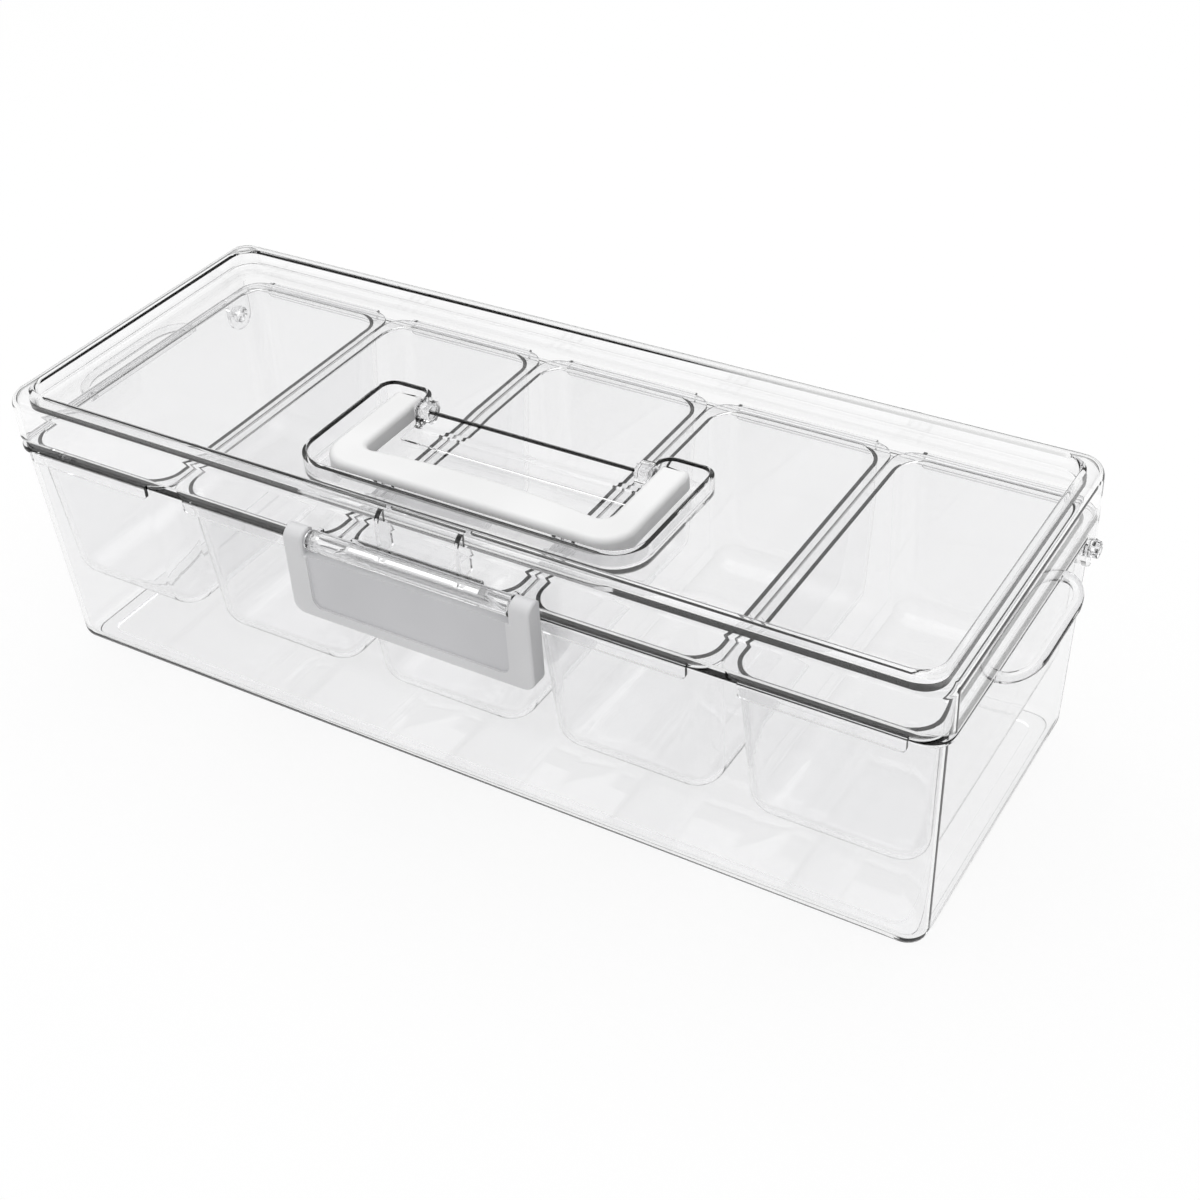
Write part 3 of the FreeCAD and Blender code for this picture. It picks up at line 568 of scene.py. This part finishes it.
# Pressed-in pins: two for the handle, and the latch's axle
pins = {"pin": 2.245, "pinIn": 46.0, "pinOut": 60.4, "axle": 2.05, "axleHalf": 51.0, "edge": 0.4, "steps": 3}


def makePin(radius, x0, x1, y, z, name, node):
    bm = rod(radius, x0, x1, y, z)
    roundOff(bm, edgesAt(bm, same="x"), pins["edge"], pins["steps"])
    place(bm, name, "lid", node, pinClear)


makePin(pins["pin"], pins["pinIn"], pins["pinOut"], lid["pinY"], lid["pinZ"], "rightPin", "handle_pin_right")
makePin(pins["pin"], -pins["pinOut"], -pins["pinIn"], lid["pinY"], lid["pinZ"], "leftPin", "handle_pin_left")
makePin(pins["axle"], -pins["axleHalf"], pins["axleHalf"], lid["railY"], lid["railZ"], "latchAxle", "latch_axle")

# Folding carry handle
handle = {"outX": 66.0, "inX": 53.7, "front": -46.5, "end": 7.5, "low": 108.9, "top": 116.7, "bar": 13.0,
          "swell": 4.0, "swellCuts": 11, "corner": 13.0, "innerCorner": 5.0, "endCorner": 3.0, "innerEnd": 1.4,
          "topRound": 2.6, "lowRound": 1.2, "pinHole": 2.26, "pinReach": 60.9, "over": 5, "overEnd": 20,
          "steps": {"corner": 12, "inner": 8, "end": 6, "innerEnd": 4, "top": 6, "low": 4}}


def makeHandle(h):
    back, steps = h["front"] + h["bar"], h["steps"]
    gap = block((-h["inX"], back, h["low"] - h["over"]), (h["inX"], h["end"] + h["overEnd"], h["top"] + h["over"]))
    bmesh.ops.subdivide_edges(gap, edges=edgesAt(gap, same="z", y=back), cuts=h["swellCuts"])
    for v in gap.verts:
        if near(v.co.y, back):
            v.co.y += h["swell"] * (1 - (v.co.x / h["inX"]) ** 2)
    roundOff(gap, uprightsAt(gap, h["inX"], back), h["innerCorner"], steps["inner"])
    bm = carve(block((-h["outX"], h["front"], h["low"]), (h["outX"], h["end"], h["top"])), ("DIFFERENCE", gap))
    roundOff(bm, uprightsAt(bm, h["outX"], h["front"]), h["corner"], steps["corner"])
    roundOff(bm, uprightsAt(bm, h["outX"], h["end"]), h["endCorner"], steps["end"])
    roundOff(bm, uprightsAt(bm, h["inX"], h["end"]), h["innerEnd"], steps["innerEnd"])
    roundCut(bm, level(bm, h["top"]), h["topRound"], steps["top"])
    roundCut(bm, level(bm, h["low"]), h["lowRound"], steps["low"])
    hole = rod(h["pinHole"], h["inX"] - lap, h["pinReach"], lid["pinY"], lid["pinZ"])
    otherHole = mirrored(hole)
    return carve(bm, ("DIFFERENCE", hole), ("DIFFERENCE", otherHole))


place(makeHandle(handle), "handleBar", "carry_handle", "carry_handle", handleWhite)

# Front latch
latch = {"half": 53.0, "front": -85.0, "back": -77.8, "low": 74.0, "axisY": -80.4, "axisZ": 106.3, "knuckle": 4.6,
         "knuckleSides": 64, "earX": 44.3, "panelTop": 101.8, "corner": 5.0, "edge": 1.2, "edgeAngle": 40,
         "dishX": 43.2, "dishLow": 78.9, "dishDepth": 0.8, "dishCorner": 4.0, "dishEdge": 0.4, "dishOver": 4,
         "skin": 2.4, "wall": 2.2, "hookX": 39.45, "hookHalf": 6, "hookTip": -75.7, "hookTop": 83.9,
         "hookThick": 3.0, "hookRound": 1.0, "axleHole": 2.06, "holeEnd": 51.4, "wide": 60, "around": 2, "over": 3,
         "hollowOver": 5, "steps": {"corner": 8, "edge": 4, "dishCorner": 7, "dishEdge": 3, "hook": 3}}


def makeLatch(k):
    steps, front, back, low = k["steps"], k["front"], k["back"], k["low"]
    top, around, over, wide = k["axisZ"] + k["knuckle"], k["around"], k["over"], k["wide"]
    plate = block((-k["half"], front, low), (k["half"], back, top))
    roundOff(plate, edgesAt(plate, same="x", z=low), k["corner"], steps["corner"])
    knuckle = rod(k["knuckle"], -wide, wide, k["axisY"], k["axisZ"], sides=k["knuckleSides"])
    shape = carve(block((-wide, front - around, low - around), (wide, back + around, k["axisZ"])),
                  ("UNION", knuckle))
    middleCut = block((-k["earX"], front - over, k["panelTop"]), (k["earX"], back + over, top + over))
    plate = carve(plate, ("INTERSECT", shape), ("DIFFERENCE", middleCut))
    rims = [e for e in plate.edges if len(e.link_faces) == 2
            and e.calc_face_angle() > math.radians(k["edgeAngle"])
            and max(v.co.y for v in e.verts) < k["axisY"] + lap]
    roundCut(plate, rims, k["edge"], steps["edge"])
    bed = front + k["dishDepth"]
    dish = block((-k["dishX"], front - over, k["dishLow"]), (k["dishX"], bed, top + k["dishOver"]))
    roundOff(dish, edgesAt(dish, same="x", z=k["dishLow"]), k["dishCorner"], steps["dishCorner"])
    roundOff(dish, edgesAt(dish, y=bed), k["dishEdge"], steps["dishEdge"])
    hollow = block((k["wall"] - k["half"], front + k["skin"] + k["dishDepth"], low + k["wall"]),
                   (k["half"] - k["wall"], back + k["hollowOver"], k["panelTop"] - k["wall"]))
    hookLow = k["hookTop"] - k["hookThick"]
    hook = block((k["hookX"] - k["hookHalf"], front + k["skin"], hookLow),
                 (k["hookX"] + k["hookHalf"], k["hookTip"], k["hookTop"]))
    roundOff(hook, edgesAt(hook, y=k["hookTip"], z=hookLow), k["hookRound"], steps["hook"])
    otherHook = mirrored(hook)
    hole = rod(k["axleHole"], k["earX"] - lap, k["holeEnd"], k["axisY"], k["axisZ"])
    otherHole = mirrored(hole)
    return carve(plate, ("DIFFERENCE", dish), ("DIFFERENCE", hollow), ("UNION", hook), ("UNION", otherHook),
                 ("DIFFERENCE", hole), ("DIFFERENCE", otherHole))


place(makeLatch(latch), "latchPlate", "latch", "latch_plate", latchWhite)

# White floor that runs out past the view, sizes in m
floorLook = {"glow": 0.86, "color": (0.95, 0.95, 0.95), "size": 6.0, "drop": 0.0004}


def makeFloor(f):
    mat, tree = newMaterial("floorWhite")
    diffuse = addNode(tree, "BsdfDiffuse", {"Color": (*f["color"], 1.0)})
    glow = addNode(tree, "Emission", {"Color": (1.0, 1.0, 1.0, 1.0)})
    path = addNode(tree, "LightPath").outputs
    seen = maths(tree, "MAXIMUM", path["Is Camera Ray"], path["Is Transmission Ray"])
    seen = maths(tree, "MAXIMUM", seen, path["Is Glossy Ray"])
    mixOut(tree, maths(tree, "MULTIPLY", seen, f["glow"]), diffuse, glow)
    bm = bmesh.new()
    bmesh.ops.create_grid(bm, x_segments=1, y_segments=1, size=f["size"])
    mesh = bpy.data.meshes.new("floor")
    bm.to_mesh(mesh)
    bm.free()
    mesh.materials.append(mat)
    floor = bpy.data.objects.new("floor", mesh)
    floor.location.z = -f["drop"]
    scene.collection.objects.link(floor)


# World: white to the camera, and a bright tent with a dark band low down for what the plastic mirrors and bends
tent = {"bands": ((0.0, 0.03), (0.06, 0.03), (0.14, 0.5), (0.45, 0.75), (0.9, 1.0)), "strength": 0.9}


def makeWorld(w):
    world = bpy.data.worlds.new("studio")
    scene.world = world
    world.use_nodes = True
    tree = world.node_tree
    tree.nodes.clear()
    link = tree.links.new
    height = addNode(tree, "ValToRGB")
    elements = height.color_ramp.elements
    while len(elements) < len(w["bands"]):
        elements.new(0.5)
    for element, (position, tone) in zip(elements, w["bands"]):
        element.position = position
        element.color = (tone, tone, tone, 1.0)
    split = addNode(tree, "SeparateXYZ")
    around = addNode(tree, "Background", {"Strength": w["strength"]})
    white = addNode(tree, "Background", {"Color": (1.0, 1.0, 1.0, 1.0)})
    link(addNode(tree, "TexCoord").outputs["Generated"], split.inputs[0])
    link(split.outputs["Z"], height.inputs["Fac"])
    link(height.outputs["Color"], around.inputs["Color"])
    mixOut(tree, addNode(tree, "LightPath").outputs["Is Camera Ray"], around, white, "OutputWorld")


# Lamps, in m and W, all aimed at the object's middle
lampTarget = (0.0, 0.0, 0.05)
lamps = {"overhead": {"place": (0.0, 0.35, 1.6), "size": (2.4, 1.8), "watts": 12.0},
         "frontLeft": {"place": (-1.0, -1.1, 1.0), "size": (0.7, 0.7), "watts": 1.0}}


def areaLamp(name, lampLook):
    light = bpy.data.lights.new(name, "AREA")
    light.shape = "RECTANGLE"
    light.size, light.size_y = lampLook["size"]
    light.energy = lampLook["watts"]
    lamp = bpy.data.objects.new(name, light)
    lamp.location = lampLook["place"]
    toward = [t - p for t, p in zip(lampTarget, lampLook["place"])]
    across = math.hypot(toward[0], toward[1])
    lamp.rotation_euler = (math.atan2(across, -toward[2]), 0.0, math.atan2(-toward[0], toward[1]))
    scene.collection.objects.link(lamp)


makeFloor(floorLook)
makeWorld(tent)
for lampName, lampLook in lamps.items():
    areaLamp(lampName, lampLook)
print("stage ready")

# Camera at the photograph's angle, in mm of lens, metres and degrees
shot = {"lens": 57.5606, "sensor": 36.0, "place": (0.354073, -0.498848, 0.501336),
        "turn": (52.92859, 2.85915, 30.85839)}
cameraData = bpy.data.cameras.new("camera")
cameraData.lens = shot["lens"]
cameraData.sensor_width = shot["sensor"]
camera = bpy.data.objects.new("camera", cameraData)
camera.location = shot["place"]
camera.rotation_euler = [math.radians(a) for a in shot["turn"]]
scene.collection.objects.link(camera)
scene.camera = camera
